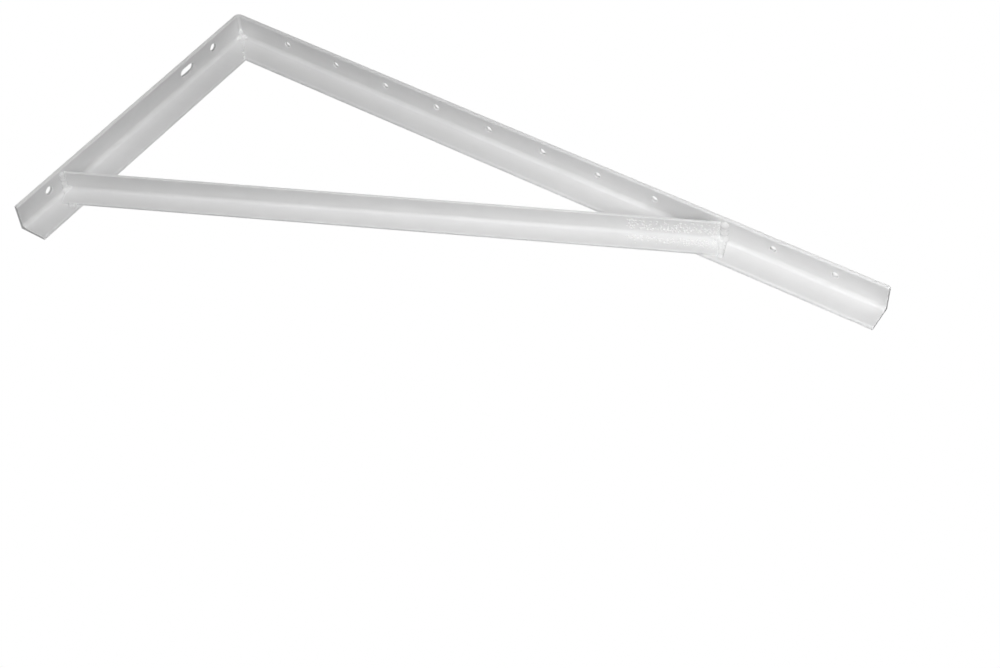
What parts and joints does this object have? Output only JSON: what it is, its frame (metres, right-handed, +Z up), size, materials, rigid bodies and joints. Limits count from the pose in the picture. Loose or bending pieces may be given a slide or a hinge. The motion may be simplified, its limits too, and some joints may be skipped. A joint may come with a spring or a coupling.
{
  "type": "air conditioner outdoor unit bracket",
  "caption": "Right-angled wall bracket of welded angle iron with a diagonal brace, a row of bolt holes along the shelf arm and holes and a slot in the wall arm.",
  "frame": {"origin": "in the plane of the wall, midway between the two round wall bolt holes", "axes": "+X leaves the wall along the shelf arm, +Z is up, the hollow side of the angle faces -Y and its web stands at +Y"},
  "size_m": [1, 0.0406, 0.45],
  "materials": {
    "painted_steel": "white powder coat on rolled angle, half gloss with a faint orange peel",
    "painted_weld": "the same coat run thick over the ripples of the weld beads"
  },
  "bodies": {
    "root": {"frame": "painted_steel", "brace": "painted_steel", "corner_weld": "painted_weld", "foot_weld": "painted_weld", "foot_tack": "painted_weld", "head_weld": "painted_weld"}
  },
  "joints": []
}
